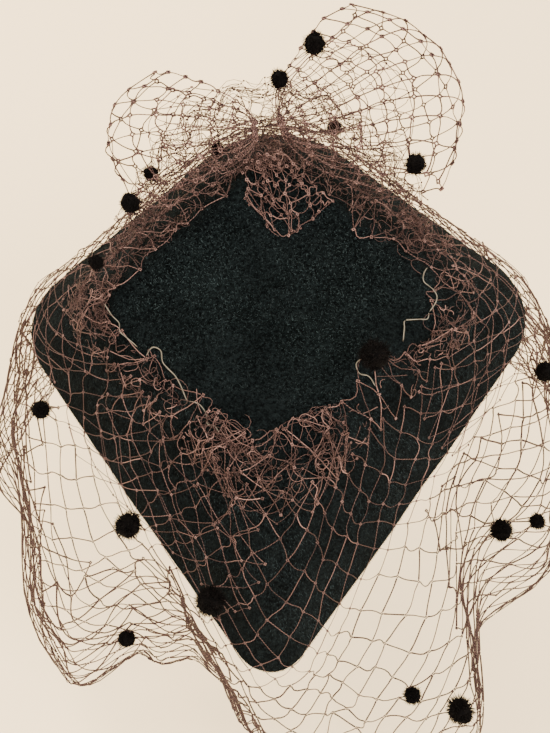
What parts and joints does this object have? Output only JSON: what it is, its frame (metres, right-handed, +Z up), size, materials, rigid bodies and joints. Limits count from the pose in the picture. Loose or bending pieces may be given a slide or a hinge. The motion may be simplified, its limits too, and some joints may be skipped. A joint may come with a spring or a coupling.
{
  "type": "pillbox hat",
  "caption": "Diamond-shaped felt pillbox hat with a dished tip, sloping walls, a gathered net veil hanging below the rim, a net bow at the back and chenille dots.",
  "frame": {"origin": "middle of the head opening, at the height of the rim's side corners, with the hat tipped 20 degrees forward as worn", "axes": "+Z up as worn, -Y to the wearer's front, +X to the wearer's left"},
  "size_m": [0.311, 0.3091, 0.2407],
  "materials": {
    "black_fur_felt": "soft brushed fur felt",
    "brown_net": "stiff knotted net",
    "black_chenille": "fuzzy chenille"
  },
  "bodies": {
    "root": {"felt_body": "black_fur_felt", "veil": "brown_net", "veil_heading": "brown_net", "bow_loop_left": "brown_net", "bow_loop_right": "brown_net", "bow_tab": "brown_net", "dot_01": "black_chenille", "dot_02": "black_chenille", "dot_03": "black_chenille", "dot_04": "black_chenille", "dot_05": "black_chenille", "dot_06": "black_chenille", "dot_07": "black_chenille", "dot_08": "black_chenille", "dot_09": "black_chenille", "dot_10": "black_chenille", "dot_11": "black_chenille", "dot_12": "black_chenille", "dot_13": "black_chenille", "dot_14": "black_chenille", "dot_15": "black_chenille", "dot_16": "black_chenille", "dot_17": "black_chenille", "dot_18": "black_chenille", "dot_19": "black_chenille", "dot_20": "black_chenille", "dot_21": "black_chenille", "dot_22": "black_chenille", "dot_23": "black_chenille", "dot_24": "black_chenille", "dot_25": "black_chenille", "dot_26": "black_chenille"}
  },
  "joints": []
}
